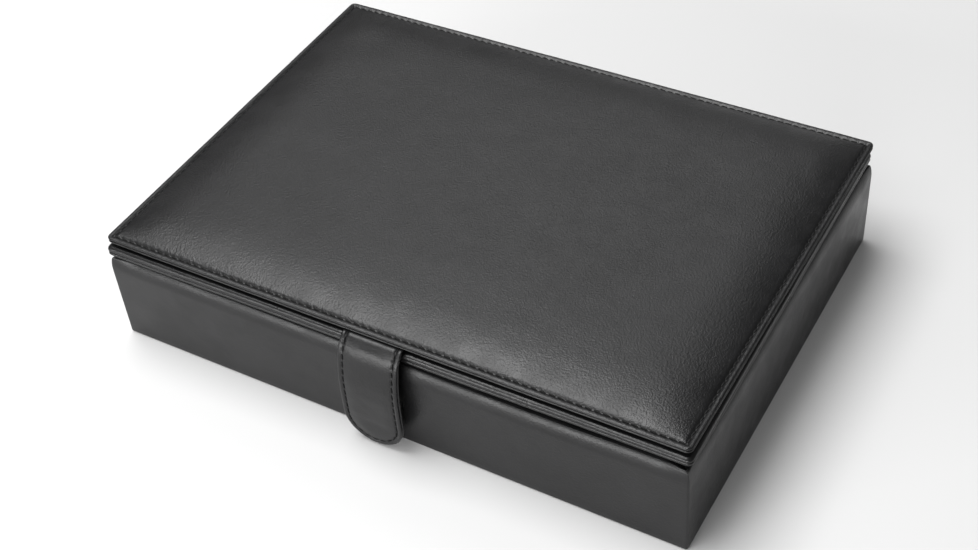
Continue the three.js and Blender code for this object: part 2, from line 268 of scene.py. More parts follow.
def metal(name, colour, roughness):
    """Plated steel with faint turning marks, haze and a few rubbed spots."""
    material = new_material(name, colour, roughness, Metallic=1.0)
    n = Nodes(material)
    haze = n.noise(2.2 * MM, 4)
    n.connect("Roughness", n.span(haze, 0.3, 0.75, roughness - 0.06, roughness + 0.14))
    n.tint(n.noise(5 * MM, 3), 0.35, 0.7, colour, tuple(0.8 * c for c in colour))
    n.connect("Normal", n.bump(n.noise(0.35 * MM, 2), 0.01 * MM))
    return material


def foam(name, dark, light):
    """Open-celled yellow foam; the hollows of its cells are painted darker, as painted shade."""
    material = new_material(name, light, 0.95)
    n = Nodes(material)
    holes = n.cells(1.1 * MM, n.warped(2 * MM, 0.8 * MM))
    # painted shade: the base colour is darker in the cells' hollows, where the bump dips
    n.tint(holes, 0.1, 0.5, dark, light)
    n.connect("Normal", n.bump(holes, 0.25 * MM))
    return material


def thread(name, dark, light):
    """Twisted black thread with a little wax shine; its twist's grooves are painted darker and its crests
    lighter, as painted shade.
    """
    material = new_material(name, light, 0.75, Specular_IOR_Level=0.3)
    n = Nodes(material)
    twist = n.node("ShaderNodeTexWave", {"Vector": n.place, "Scale": 260.0, "Distortion": 1.5},
                   bands_direction="DIAGONAL").outputs["Fac"]
    # painted shade: the base colour is darker in the twist's grooves and lighter on its crests
    n.connect("Base Color", n.colours(twist, dark, light))
    n.connect("Normal", n.bump(twist, 0.05 * MM))
    return material


# ---- mesh building
def mesh_object(name, points, faces, smooth=True):
    """One object from points and faces; points that fall together are merged."""
    mesh = bpy.data.meshes.new(name)
    mesh.from_pydata([tuple(p) for p in np.asarray(points, float)], [], faces)
    work = bmesh.new()
    work.from_mesh(mesh)
    bmesh.ops.remove_doubles(work, verts=work.verts, dist=1e-7)
    bmesh.ops.dissolve_degenerate(work, edges=work.edges, dist=1e-7)
    bmesh.ops.recalc_face_normals(work, faces=work.faces)
    work.to_mesh(mesh)
    work.free()
    mesh.polygons.foreach_set("use_smooth", [smooth] * len(mesh.polygons))
    return add_object(name, mesh)


def quads(rows, columns, wrap_rows, wrap_columns, first=0):
    """Faces of a grid whose points are numbered row by row."""
    faces = []
    for i in range(rows if wrap_rows else rows - 1):
        a, b = i * columns, ((i + 1) % rows) * columns
        for j in range(columns if wrap_columns else columns - 1):
            k = (j + 1) % columns
            faces.append((first + a + j, first + a + k, first + b + k, first + b + j))
    return faces


class Outline:
    """Samples round a rounded rectangle, counter-clockwise from the front left corner.

    The sides are sampled at about step, or in counts: pieces along x and along y."""

    def __init__(self, half_x, half_y, radius, step=1.0, mid_y=0.0, arc=7, counts=None):
        self.half_x, self.half_y, self.radius, self.mid_y = half_x, half_y, radius, mid_y
        if counts is None:
            counts = [max(1, round(2 * (half - radius) / step)) for half in (half_x, half_y)]
        rows, self.starts = [], []
        for nx, ny in ((0, -1), (1, 0), (0, 1), (-1, 0)):
            self.starts.append(len(rows))
            for t in np.linspace(-1, 1, counts[0 if nx == 0 else 1] + 1):
                rows.append((-ny * t, ny, nx, ny) if nx == 0 else (nx, nx * t, nx, ny))
            for k in range(1, arc):
                angle = math.atan2(ny, nx) + k / arc * math.pi / 2
                rows.append((nx - ny, ny + nx, math.cos(angle), math.sin(angle)))
        self.rows = np.array(rows)
        self.outward = self.rows[:, 2:]

    def at(self, inset):
        """The samples' x and y with the whole outline moved inwards."""
        round_left = np.maximum(self.radius - inset, 0)
        end_x = self.half_x - inset - round_left
        end_y = self.half_y - inset - round_left
        x = self.rows[:, 0] * end_x + self.rows[:, 2] * round_left
        y = self.rows[:, 1] * end_y + self.rows[:, 3] * round_left + self.mid_y
        return np.stack([x, y], axis=1)

    def to_corner(self):
        """Distance of each sample from the nearest corner, along its side."""
        x, y = self.at(0.0).T
        return self.half_x - np.abs(x) + self.half_y - np.abs(y - self.mid_y)

    def rings(self, section, scale=1.0):
        """Points [place on the section, sample, xyz] for a section of (inset, z) points."""
        made = []
        for inset, z in section:
            flat = self.at(inset * scale)
            made.append(np.column_stack([flat, np.full(len(flat), z)]))
        return np.array(made)

    def push_out(self, rings, shift):
        """Moves the rings' points outwards by shift."""
        rings[..., :2] += shift[..., None] * self.outward


def hull(name, rings, closed=False, cap_first=False, cap_last=False):
    """A skin over rings of points: closed for a tube-like section, or capped at its ends."""
    rows, columns = rings.shape[:2]
    faces = quads(rows, columns, closed, True)
    if cap_first:
        faces.append(tuple(range(columns)))
    if cap_last:
        faces.append(tuple(range((rows - 1) * columns, rows * columns)))
    return mesh_object(name, rings.reshape(-1, 3), faces)


def smooth_noise(points, size, seed):
    """Soft noise from -1 to 1 at each point, swelling over about size millimetres, or over xyz."""
    table = np.random.RandomState(seed).uniform(-1, 1, 4096)
    q = points / (np.asarray(size) * MM)
    cell = np.floor(q).astype(np.int64)
    f = q - cell
    f = f * f * (3 - 2 * f)
    total = np.zeros(points.shape[:-1])
    for corner in np.ndindex(2, 2, 2):
        c = cell + np.array(corner)
        pick = (c[..., 0] * 73856093 ^ c[..., 1] * 19349663 ^ c[..., 2] * 83492791) & 4095
        share = np.prod(np.where(np.array(corner) == 1, f, 1 - f), axis=-1)
        total += share * table[pick]
    return total


def flat_noise(x, y, size, seed):
    """The same noise over a plane."""
    return smooth_noise(np.stack([x, y, 0 * x], axis=-1), size, seed)


def bell(value, width):
    """1 at 0, falling to nothing a few widths away on either side."""
    return np.exp(-((value / width) ** 2))


def ramp(value, low, high):
    """0 below low, 1 above high, smooth between them."""
    t = np.clip((value - low) / (high - low), 0, 1)
    return t * t * (3 - 2 * t)


def unit(vector):
    return vector / np.linalg.norm(vector)


def scaled(points):
    """Points given in millimetres, in metres."""
    return [tuple(value * MM for value in point) for point in points]


def arc_points(centre, radius, start, end, count):
    """Section points on an arc; angles in degrees, 0 outwards (falling inset), 90 up."""
    made = []
    for angle in np.radians(np.linspace(start, end, count)):
        made.append((centre[0] - radius * math.cos(angle), centre[1] + radius * math.sin(angle)))
    return made


def finish_piece(piece, material, replaced, body=None):
    piece.data.materials.clear()
    piece.data.materials.append(material)
    if replaced:
        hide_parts(*replaced)
    if body:
        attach(piece, body)
    return piece


def spaced(low, high, step):
    """Values from low to high, evenly spaced at about step."""
    return list(np.linspace(low, high, max(2, round(abs(high - low) / step) + 1)))


# ---- the box's leather
WRAP_LOW, WRAP_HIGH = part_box("base_wrap")
SIDE, BACK = WRAP_HIGH.x, WRAP_HIGH.y
RIM_TOP = WRAP_HIGH.z
ROLL_START = 41.6 * MM
CORNER = 1.2 * MM
PANEL_CORNER = 3 * MM
# The rim's roll over the walls: how far in it reaches, the height from which it leaves the wall,
# and its arcs: degrees where each ends, radius in millimetres.
ROLL_END = 5.6 * MM
ROLL_BENT = 43 * MM
ROLL_ARCS = ((22, 12), (40, 9), (80, 1.6))


def wrap_section():
    """Closed section of the box's leather, from under the floor, up, over the rim and down inside."""
    low, start, turn_in = WRAP_LOW.z / MM, ROLL_START / MM, 38
    under, edge, skin, inner = 12, 1.1, 1.0, 5.8
    points = [(under, low)]
    points += [(i, low) for i in spaced(9, 2, 2.4)]
    points += arc_points((edge, low + edge), edge, -90, 0, 6)
    points += [(0, z) for z in spaced(4, start - 0.5, 3)]
    inset, z = 0.0, start
    for angle in range(1, 80, 2):
        radius = next(r for end, r in ROLL_ARCS if angle < end)
        inset += radius * math.radians(2) * math.sin(math.radians(angle))
        z += radius * math.radians(2) * math.cos(math.radians(angle))
        points.append((inset, z))
    high = z + 0.3
    points += [(3.6, z + 0.15), (4.4, high - 0.05)]
    points += arc_points((inner - 0.8, high - 0.8), 0.8, 90, 180, 5)
    points += [(inner, z) for z in spaced(high - 2.5, turn_in, 4)]
    points += [(inner - skin, turn_in), (inner - skin, high - 1.1), (3.4, high - 1.2)]
    points += [(2.2, 45.5), (1.2, 40), (1.2, low + skin), (under, low + skin)]
    return scaled(points)


def box_leather():
    """The box's leather: its walls drift a little, and its rim is wrinkled and sags at the right."""
    outline = Outline(SIDE, BACK, CORNER, 1.3 * MM)
    section = wrap_section()
    rings = outline.rings(section)
    tight = outline.rings(section, 0.45)
    near = 1 - ramp(outline.to_corner(), 1 * MM, 14 * MM)
    roll = np.array([0 < i < ROLL_END and z > ROLL_BENT for i, z in section])
    inside = np.arange(len(section)) > np.argmax([i > ROLL_END and z > 30 * MM for i, z in section])
    rings += (tight - rings) * ((roll & ~inside)[:, None] * near[None, :])[..., None]
    x, y, z = rings[..., 0], rings[..., 1], rings[..., 2]
    skin = 5.7 * MM
    outer = (np.abs(x) > SIDE - skin) | (np.abs(y) > BACK - skin)
    rim = ramp(z, RIM_TOP - 7 * MM, RIM_TOP - 2.5 * MM)
    walls = 0.14 * MM * smooth_noise(rings, (60, 60, 30), 3)
    walls *= ramp(z, 1.5 * MM, 9 * MM) * (1 - rim)
    folds = 0.08 * MM * smooth_noise(rings, (5, 5, 2.2), 5)
    folds += 0.03 * MM * smooth_noise(rings, (1.7, 1.7, 9), 8)
    to_right = 0.12 + 0.88 * ramp(x, -10 * MM, 60 * MM)
    band = bell(z - RIM_TOP + 2.4 * MM, 2.2 * MM)
    shift = (walls + folds * band * to_right) * (1 - 0.8 * near) * outer
    sag = ramp(x, -10 * MM, 40 * MM) * (1 - ramp(x, 90 * MM, 130 * MM)) * (y < 0) * outer
    rings[..., 2] -= 1.1 * MM * sag * ramp(z, ROLL_START - 6 * MM, RIM_TOP - 6 * MM)
    outline.push_out(rings, shift)
    return hull("base_wrap_leather", rings, closed=True)


def wall_boards():
    """The four wall boards' butted ring, its outer top edge sanded round."""
    low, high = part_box("base_left_board")
    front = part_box("base_front_board")[0]
    outline = Outline(-low.x, -front.y, 0.5 * MM, 4 * MM)
    thick, top = high.x - low.x, high.z - 1.8 * MM
    section = [(0, z) for z in spaced(low.z, top - 4.4 * MM, 6 * MM)]
    section += [(0.5 * MM, top - 2.2 * MM), (1.2 * MM, top - 0.7 * MM), (1.9 * MM, top)]
    section += [(thick - 0.3 * MM, top), (thick, top - 0.3 * MM), (thick, low.z)]
    return hull("wall_boards_sanded", outline.rings(section), closed=True)


def lid_core():
    """The board inside the lid's lower layer, its edges sanded back under the leather."""
    low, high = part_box("lid_board")
    outline = Outline(high.x - 5 * MM, high.y - 5 * MM, 2 * MM, 4 * MM)
    bottom, top = low.z + 0.1 * MM, high.z - 0.4 * MM
    section = [(0.4 * MM, bottom), (0, bottom + 0.4 * MM), (0, top - 0.6 * MM), (0.6 * MM, top)]
    rings = askew(outline.rings(section), LOWER_MOVES)
    return hull("lid_board_sanded", rings, cap_first=True, cap_last=True)


def sheet_leather(name, node, radius, edge, swell=0.0):
    """A flat glued sheet with rounded edges, in the place of a CAD plate."""
    low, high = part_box(node)
    mid_y = (high.y + low.y) / 2
    outline = Outline((high.x - low.x) / 2, (high.y - low.y) / 2, radius, 3 * MM, mid_y, arc=5)
    r = min(edge, (high.z - low.z) / 2 - 1e-6)
    flat = (14 * MM, 5 * MM, 2 * MM)
    section = [(inset, low.z) for inset in flat]
    section += arc_points((r, low.z + r), r, -90, 0, 5)
    section += arc_points((r, high.z - r), r, 0, 90, 5)
    section += [(inset, high.z) for inset in flat[::-1]]
    rings = outline.rings(section)
    rings[..., 2] += swell * smooth_noise(rings, 25, 21)
    return hull(name, rings, cap_first=True, cap_last=True)


# ---- the lid's layers
LID_LOW, LID_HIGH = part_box("lid_wrap")
STRAP_HALF = 15.3 * MM
# The lid's two layers aren't glued on quite square. Each corner's move in x and y, in millimetres:
# front left, front right, back right, back left.
LOWER_MOVES = ((0.0, 0.0), (0.1, 1.5), (-1.3, 0.4), (0.0, 0.0))
PANEL_MOVES = ((-0.2, -0.6), (0.0, 0.6), (0.0, 0.4), (-0.2, 0.0))


def askew(points, moves):
    """Moves each corner by its share, and everything between them in proportion."""
    moves = np.array(moves) * MM
    u = (points[..., 0] / SIDE + 1) / 2
    v = (points[..., 1] / BACK + 1) / 2
    shares = ((1 - u) * (1 - v), u * (1 - v), u * v, (1 - u) * v)
    for share, move in zip(shares, moves):
        points[..., 0] += share * move[0]
        points[..., 1] += share * move[1]
    return points


def lid_section():
    """Closed section of the lower lid layer: a round shoulder, a shallow groove, a thin lobe."""
    low, high = LID_LOW.z / MM, LID_HIGH.z / MM
    shoulder, ledge, lobe = 2.2, low + 3.3, low - 1.3
    points = [(15, high - 1), (15, high), (12, high), (10, high - 0.15), (8, high - 0.7),
              (6, ledge + 0.15), (3.8, ledge + 0.03)]
    points += arc_points((shoulder, ledge - shoulder), shoulder, 88, -4, 17)
    under = [(0.30, 1.92), (0.56, 1.74), (0.68, 1.62), (0.60, 1.50), (0.38, 1.34), (0.18, 1.12),
             (0.06, 0.82), (0.04, 0.52), (0.10, 0.22), (0.26, -0.06), (0.54, -0.28),
             (1.0, -0.38), (1.8, -0.30), (2.6, 0.2), (3.6, 1.1)]
    points += [(i, lobe + z) for i, z in under]
    points += [(i, low) for i in spaced(4.6, 12, 2.6)]
    points += [(12, low + 1), (2.9, low + 1), (3.2, high - 2.9)]
    return scaled(points)


def lid_leather():
    """The lid's lower layer, wavy at its edge, pressed in under the strap and lifted at the right."""
    outline = Outline(SIDE, BACK, 2.8 * MM, 1.4 * MM)
    rings = outline.rings(lid_section())
    x, y, z = rings[..., 0], rings[..., 1], rings[..., 2]
    inset = np.minimum(SIDE - np.abs(x), BACK - np.abs(y))
    shift = 0.12 * MM * smooth_noise(rings, (24, 24, 3), 13)
    shift += 0.05 * MM * smooth_noise(rings, (4, 4, 1.5), 14)
    outline.push_out(rings, shift * (1 - ramp(inset, 0.8 * MM, 3 * MM)))
    dent = (1 - ramp(np.abs(x), STRAP_HALF + 0.2 * MM, STRAP_HALF + 1.6 * MM))
    dent *= (y < -80 * MM) * ramp(z, LID_HIGH.z - 2.6 * MM, LID_HIGH.z - 0.2 * MM)
    rings[..., 2] -= 0.5 * MM * dent
    lift = ramp(x, -20 * MM, 150 * MM) * (1 - ramp(z, LID_LOW.z + 0.2 * MM, LID_HIGH.z - 1 * MM))
    rings[..., 2] += 0.7 * MM * lift * (1 - ramp(y, -106 * MM, -90 * MM))
    return hull("lid_wrap_leather", askew(rings, LOWER_MOVES), closed=True)


# ---- the padded panel
COVER_LOW, COVER_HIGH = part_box("top_cover")
PANEL_X = COVER_HIGH.x
PANEL_Y = (COVER_HIGH.y - COVER_LOW.y) / 2
PANEL_MID = (COVER_HIGH.y + COVER_LOW.y) / 2
EDGE_TOP = COVER_LOW.z + 1.3 * MM
SEAM = 3.1 * MM
PITCH = 4.2 * MM
CROWN = COVER_HIGH.z - EDGE_TOP
CROWN_RUN = 31 * MM


def crown_height(x, y):
    """Rise of the padding: steep at the seam, level in the middle."""
    in_x = PANEL_X - SEAM - np.abs(x)
    in_y = PANEL_Y - SEAM - np.abs(y - PANEL_MID)
    swell = [1 - (1 - np.clip(d / CROWN_RUN, 0, 1)) ** 3 for d in (in_x, in_y)]
    return CROWN * swell[0] * swell[1]


def backing_leather():
    """The leather round the panel's backing, its edge a half-round lobe."""
    low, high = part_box("panel_backing")
    outline = Outline(PANEL_X, PANEL_Y, PANEL_CORNER, 1.4 * MM, PANEL_MID)
    mid = (low.z + high.z) / 2 + 0.35 * MM
    r = (high.z - low.z) / 2 - 0.02 * MM
    section = [(30 * MM, low.z), (6 * MM, low.z), (3.2 * MM, low.z), (1.8 * MM, low.z + 0.2 * MM)]
    for angle in np.radians(np.linspace(-75, 75, 9)):
        section.append((0.9 * MM * (1 - math.cos(angle)), mid + r * math.sin(angle)))
    section += [(1.6 * MM, high.z + 0.1 * MM), (2.5 * MM, high.z), (6 * MM, high.z), (30 * MM, high.z)]
    rings = outline.rings(section)
    shift = 0.10 * MM * smooth_noise(rings, (9, 9, 3), 31)
    shift += 0.07 * MM * smooth_noise(rings, (30, 30, 3), 32)
    outline.push_out(rings, shift)
    rings = askew(rings, PANEL_MOVES)
    return hull("panel_backing_leather", rings, cap_first=True, cap_last=True)


def seam_holes(inset):
    """Stitch holes along each side of the panel: the same count on opposite sides."""
    half_x, half_y = PANEL_X - inset, PANEL_Y - inset
    corners = [(-half_x, -half_y), (half_x, -half_y), (half_x, half_y), (-half_x, half_y)]
    sides = []
    for k in range(4):
        a, b = np.array(corners[k]), np.array(corners[(k + 1) % 4])
        count = round(np.linalg.norm(b - a) / PITCH)
        t = np.linspace(0, 1, count + 1)[:, None]
        sides.append(a + (b - a) * t + np.array([0, PANEL_MID]))
    return sides


def seam_depth(x, y):
    """How far the thread pulls the leather down, and the puckers between stitches."""
    in_x = PANEL_X - np.abs(x)
    in_y = PANEL_Y - np.abs(y - PANEL_MID)
    inset = np.minimum(in_x, in_y)
    across = inset - SEAM
    half_x, half_y = PANEL_X - SEAM, PANEL_Y - SEAM
    run = np.where(in_y < in_x, x + half_x, y - PANEL_MID + half_y)
    length = np.where(in_y < in_x, 2 * half_x, 2 * half_y)
    pitch = length / np.round(length / PITCH)
    phase = np.cos(2 * np.pi * run / pitch)
    groove = 0.44 * MM * bell(across, 0.85 * MM)
    holes = 0.24 * MM * ramp(phase, 0.2, 1.0) * bell(across, 0.8 * MM)
    inside = bell(across - 1.5 * MM, 1.1 * MM)
    outside = bell(across + 1.4 * MM, 0.8 * MM)
    puckers = -0.02 * MM * phase * inside - 0.05 * MM * phase * outside
    roll = 0.24 * MM * bell(across + 1.8 * MM, 0.85 * MM)
    return puckers + roll - groove - holes


def cover_top(x, y, relief):
    """Height of the leather's upper face, apart from the rounded rim."""
    rise = crown_height(x, y)
    swells = 0.22 * MM * flat_noise(x, y, 46, 41) + 0.05 * MM * flat_noise(x, y, 12, 42)
    swells += relief(x, y)
    return EDGE_TOP + rise + seam_depth(x, y) + swells * rise / CROWN


def even_grid(half_x, half_y, mid_y, nx, ny):
    """x and y of an even grid's points, row by row."""
    return np.meshgrid(np.linspace(-half_x, half_x, nx + 1), np.linspace(-half_y, half_y, ny + 1) + mid_y)


def grid_loop(nx, ny):
    """Numbers of the points on a grid's border, counter-clockwise from the first."""
    loop = list(range(nx))
    loop += [i * (nx + 1) + nx for i in range(ny)]
    loop += [ny * (nx + 1) + nx - j for j in range(nx)]
    return loop + [(ny - i) * (nx + 1) for i in range(ny)]


def grid_border(nx, ny, fine, starts):
    """Faces between an inner grid and the first ring round it, numbered after the grid."""
    total = (nx + 1) * (ny + 1)
    loop = grid_loop(nx, ny)
    faces, k = [], 0
    for side, count in enumerate((nx, ny, nx, ny)):
        for j in range(count):
            a, b = loop[k], loop[(k + 1) % len(loop)]
            first = total + starts[side] + j * fine
            faces.append((a, *range(first, first + fine + 1), b))
            k += 1
        corner = total + starts[side] + count * fine
        after = total + (starts[side + 1] if side < 3 else 0)
        chain = list(range(corner, corner + 7)) + [after]
        for u, v in zip(chain[:-1], chain[1:]):
            faces.append((loop[k % len(loop)], u, v))
    return faces


def bordered_grid(name, grid, rings, outline, fine=1):
    """A skin from a grid, the rings of an outline round it, and a closed back."""
    rows, columns = grid.shape[:2]
    total, around = rows * columns, rings.shape[1]
    faces = quads(rows, columns, False, False)
    faces += grid_border(columns - 1, rows - 1, fine, outline.starts)
    faces += quads(len(rings), around, False, True, total)
    back = total + (len(rings) - 1) * around
    faces.append(tuple(range(back, back + around)))
    return mesh_object(name, np.concatenate([grid.reshape(-1, 3), rings.reshape(-1, 3)]), faces)


def sheet_rings(outline, face, insets, edge, angles, lip, low, back):
    """Rings over a sheet's border: its face at each inset, a rounded edge, then in along its back."""
    rings = []
    for inset in insets:
        flat = outline.at(inset * MM)
        rings.append(np.column_stack([flat, face(*flat.T)]))
    top = rings[-1][:, 2]
    for angle in np.radians(angles):
        height = (top + lip) / 2 + (top - lip) / 2 * math.sin(angle)
        rings.append(np.column_stack([outline.at(edge * (1 - math.cos(angle))), height]))
    return np.array(rings + list(outline.rings([(inset * MM, low) for inset in back])))


def cushion(name, x, y, high, low):
    """A closed block between two sheets of heights over one grid."""
    rows, columns = x.shape
    count = rows * columns
    sheets = [np.stack([x, y, z], axis=-1).reshape(-1, 3) for z in (high, low)]
    faces = quads(rows, columns, False, False)
    faces += [tuple(reversed(f)) for f in quads(rows, columns, False, False, count)]
    loop = grid_loop(columns - 1, rows - 1)
    for a, b in zip(loop, loop[1:] + loop[:1]):
        faces.append((b, a, a + count, b + count))
    return mesh_object(name, np.concatenate(sheets), faces)


def cover_leather(relief):
    """The cover: an even grid inside, a fine band round the seam, a rounded edge, a flat back."""
    band, coarse, fine = 9 * MM, 2.1 * MM, 3
    half_x, half_y = PANEL_X - band, PANEL_Y - band
    nx, ny = round(2 * half_x / coarse), round(2 * half_y / coarse)
    grid_x, grid_y = even_grid(half_x, half_y, PANEL_MID, nx, ny)
    grid = np.stack([grid_x, grid_y, cover_top(grid_x, grid_y, relief)], axis=-1)
    counts = (nx * fine, ny * fine)
    outline = Outline(PANEL_X, PANEL_Y, PANEL_CORNER, mid_y=PANEL_MID, counts=counts)
    insets = (7.8, 6.6, 5.7, 5.0, 4.5, 4.1, 3.75, 3.45, 3.2, 3.0, 2.75, 2.45, 2.1, 1.7, 1.3, 0.95)
    angles = (62, 44, 26, 8, -10, -28, -46, -66)
    low = COVER_LOW.z - 0.05 * MM
    rings = sheet_rings(outline, lambda x, y: cover_top(x, y, relief), insets, 0.95 * MM, angles,
                        low + 0.25 * MM, low, (1.2, 6, 12))
    edge = rings[len(insets) - 2:-2]
    outline.push_out(edge, 0.09 * MM * smooth_noise(edge, (11, 11, 4), 43))
    grid, rings = askew(grid, PANEL_MOVES), askew(rings, PANEL_MOVES)
    return bordered_grid("panel_cover_leather", grid, rings, outline, fine)


def tube_stitches(name, ends, radius, dive, lift):
    """Thread: for each stitch (start, end, up), a short arched strand that dives at both ends."""
    around, stations = 7, 8
    points, faces = [], []
    for start, end, up in ends:
        start, end, up = (np.array(v, float) for v in (start, end, up))
        out = np.cross(unit(end - start), up)
        first = len(points)
        for k in range(stations):
            t = k / (stations - 1)
            rise = lift * math.sin(math.pi * t) ** 0.6 - dive * abs(2 * t - 1) ** 4
            centre = start + (end - start) * t + up * rise
            width = radius * (0.8 + 0.2 * math.sin(math.pi * t))
            for a in np.arange(around) / around * 2 * math.pi:
                points.append(centre + width * (math.cos(a) * out + math.sin(a) * up))
        faces += quads(stations, around, False, True, first)
        for end_ring in (first, first + (stations - 1) * around):
            faces.append(tuple(range(end_ring, end_ring + around)))
    return mesh_object(name, points, faces)


def panel_stitches(relief):
    """One slanting stitch between each two holes of the panel's seam."""
    ends = []
    for holes in seam_holes(SEAM):
        along = unit(holes[1] - holes[0])
        left = np.array([-along[1], along[0]])
        for a, b in zip(holes[:-1], holes[1:]):
            move = along * 0.35 * MM + left * 0.28 * MM
            p, q = a + move, b - move
            level = cover_top(*np.array([p, (p + q) / 2, q]).T, relief).min() + 0.05 * MM
            p, q = (askew(np.array([*v, level]), PANEL_MOVES) for v in (p, q))
            ends.append((p, q, (0, 0, 1)))
    return tube_stitches("panel_stitching", ends, 0.42 * MM, 0.40 * MM, 0.18 * MM)


# ---- the strap
# The strap's outer face in a section across X, from the glued tail to the tip: y, z and the whole
# thickness there, in millimetres.
STRAP_FACE = [
    (-82.0, 58.2, 1.0), (-90.0, 58.2, 1.0), (-99.0, 58.2, 1.0), (-103.0, 58.35, 1.1),
    (-105.2, 58.85, 1.25), (-106.6, 59.15, 1.4), (-107.8, 58.75, 1.55), (-109.0, 57.7, 1.7),
    (-110.2, 56.35, 1.8), (-111.4, 54.8, 2.0), (-112.5, 52.8, 2.3), (-113.4, 50.2, 2.7),
    (-114.1, 47.5, 3.0), (-114.7, 44.7, 3.2), (-115.2, 41.8, 3.3), (-115.7, 38.5, 3.3),
    (-116.0, 35.0, 3.3), (-116.2, 30.0, 3.3), (-116.25, 25.0, 3.3), (-116.25, 19.0, 3.3),
    (-116.1, 12.0, 3.3), (-115.9, 6.0, 3.3), (-115.7, 0.9, 3.3),
]


def lengths_along(points):
    """How far along the chain of points each of them lies."""
    return np.concatenate([[0], np.cumsum(np.linalg.norm(np.diff(points, axis=0), axis=1))])


def curve_through(points, step):
    """Evenly spaced samples of a smooth curve through the points; extra columns go along."""
    p = np.array(points, float)
    full = np.vstack([2 * p[0] - p[1], p, 2 * p[-1] - p[-2]])
    dense = []
    for i in range(len(p) - 1):
        a, b, c, d = full[i:i + 4]
        for t in np.linspace(0, 1, 20, endpoint=False):
            dense.append(0.5 * (2 * b + (c - a) * t + (2 * a - 5 * b + 4 * c - d) * t * t
                                + (3 * b - a - 3 * c + d) * t ** 3))
    dense.append(p[-1])
    dense = np.array(dense)
    run = lengths_along(dense[:, :2])
    at = np.linspace(0, run[-1], round(run[-1] / step) + 1)
    return at, np.column_stack([np.interp(at, run, dense[:, k]) for k in range(dense.shape[1])])


STRAP_RUN, STRAP_CURVE = curve_through(scaled(STRAP_FACE), 0.5 * MM)
STRAP_LENGTH = STRAP_RUN[-1]


def strap_place(run, across, depth):
    """The point at a distance along the strap, across it, and under its outer face."""
    y = np.interp(run, STRAP_RUN, STRAP_CURVE[:, 0])
    z = np.interp(run, STRAP_RUN, STRAP_CURVE[:, 1])
    after, before = run + 0.6 * MM, run - 0.6 * MM
    dy, dz = (np.interp(after, STRAP_RUN, c) - np.interp(before, STRAP_RUN, c) for c in STRAP_CURVE.T[:2])
    size = np.hypot(dy, dz)
    in_y, in_z = -dz / size, dy / size
    return np.stack([across + 0 * run, y + in_y * depth, z + in_z * depth], axis=-1)


def strap_thickness(run):
    return np.interp(run, STRAP_RUN, STRAP_CURVE[:, 2])


STRAP_SEAM = 2.5 * MM


def strap_outline(inset, side_step=0.7 * MM, arc=44):
    """Run and across along a U round the strap, moved inwards by inset."""
    r = STRAP_HALF
    left = r - inset
    sides = spaced(0, STRAP_LENGTH - r, side_step)
    tip = np.linspace(0, np.pi, arc + 1)[1:-1]
    run = np.concatenate([sides, STRAP_LENGTH - r + left * np.sin(tip), sides[::-1]])
    across = np.concatenate([np.full(len(sides), -left), -left * np.cos(tip), np.full(len(sides), left)])
    return run, across


def strap_relief(run, across, inset):
    """How far the outer face stands above its plain surface."""
    past = inset - STRAP_SEAM
    phase = np.cos(2 * np.pi * run / PITCH)
    groove = -0.48 * MM * bell(past, 0.65 * MM)
    pull = -0.14 * MM * phase * bell(past, 0.8 * MM)
    middle = ramp(past, 0.4 * MM, 5 * MM)
    hang = ramp(run, 24 * MM, 36 * MM)
    fill = 0.35 * MM * middle * hang
    shoulder = bell(run - 31 * MM, 6 * MM)
    wrinkles = 0.07 * MM * flat_noise(across, run, (11, 1.3, 1), 51) * shoulder
    wrinkles += 0.10 * MM * flat_noise(across, run, (16, 4.0, 1), 52) * hang
    return groove + pull + fill + wrinkles * middle


def strap_layer(name, top, bottom, sewn):
    """One leather of the strap, between two shares of its thickness; top is its outward face."""
    insets = [STRAP_HALF / MM, 12.5, 10, 8, 6.4, 5.2, 4.3, 3.7, 3.3, 3.0, 2.75, 2.5, 2.25, 2.0, 1.7,
              1.35, 1.0]
    edge = 0.95
    rows = []

    def row(inset, fall_top, fall_bottom, upper):
        run, across = strap_outline(inset * MM)
        fall = fall_top if upper else 1 - fall_bottom
        depth = strap_thickness(run) * (top + (bottom - top) * fall)
        if upper and sewn:
            depth = depth - strap_relief(run, across, inset * MM) * min(1, inset / 1.0)
        rows.append(strap_place(run, across, depth))

    for inset in insets:
        row(inset, 0, 0, True)
    for angle in np.radians([65, 45, 25, 8]):
        row(edge * (1 - math.cos(angle)), (1 - math.sin(angle)) / 2, 0, True)
    for angle in np.radians([-8, -25, -45, -65]):
        row(edge * (1 - math.cos(angle)), 0, (1 + math.sin(angle)) / 2, False)
    for inset in insets[::-1]:
        row(inset, 0, 0, False)
    rows = np.array(rows)
    faces = quads(rows.shape[0], rows.shape[1], False, False)
    piece = mesh_object(name, rows.reshape(-1, 3), faces)
    work = bmesh.new()
    work.from_mesh(piece.data)
    bmesh.ops.holes_fill(work, edges=[e for e in work.edges if e.is_boundary], sides=0)
    bmesh.ops.recalc_face_normals(work, faces=work.faces)
    work.to_mesh(piece.data)
    work.free()
    return piece


def strap_stitches():
    run, across = strap_outline(STRAP_SEAM, 0.2 * MM, 160)
    spot = np.stack([across, run], axis=1)
    gone = lengths_along(spot)
    begin, end = 22.5 * MM, gone[-1] - 22.5 * MM
    count = round((end - begin) / PITCH)
    marks = np.linspace(begin, end, count + 1)
    runs, sides = np.interp(marks, gone, run), np.interp(marks, gone, across)
    ends = []
    for i in range(count):
        along = unit(np.array([sides[i + 1] - sides[i], runs[i + 1] - runs[i]]))
        left = np.array([-along[1], along[0]])
        places = []
        for k, sign in ((i, 1), (i + 1, -1)):
            flat = np.array([sides[k], runs[k]]) + sign * (0.45 * MM * along + 0.2 * MM * left)
            places.append(strap_place(flat[1], flat[0], 0.24 * MM))
        above = strap_place(runs[i], sides[i], -1 * MM) - strap_place(runs[i], sides[i], 0.0)
        ends.append((*places, unit(above)))
    return tube_stitches("strap_stitching", ends, 0.27 * MM, 0.3 * MM, 0.12 * MM)


# ---- spine, linings, trays, clasp
HINGE_Z = 53 * MM


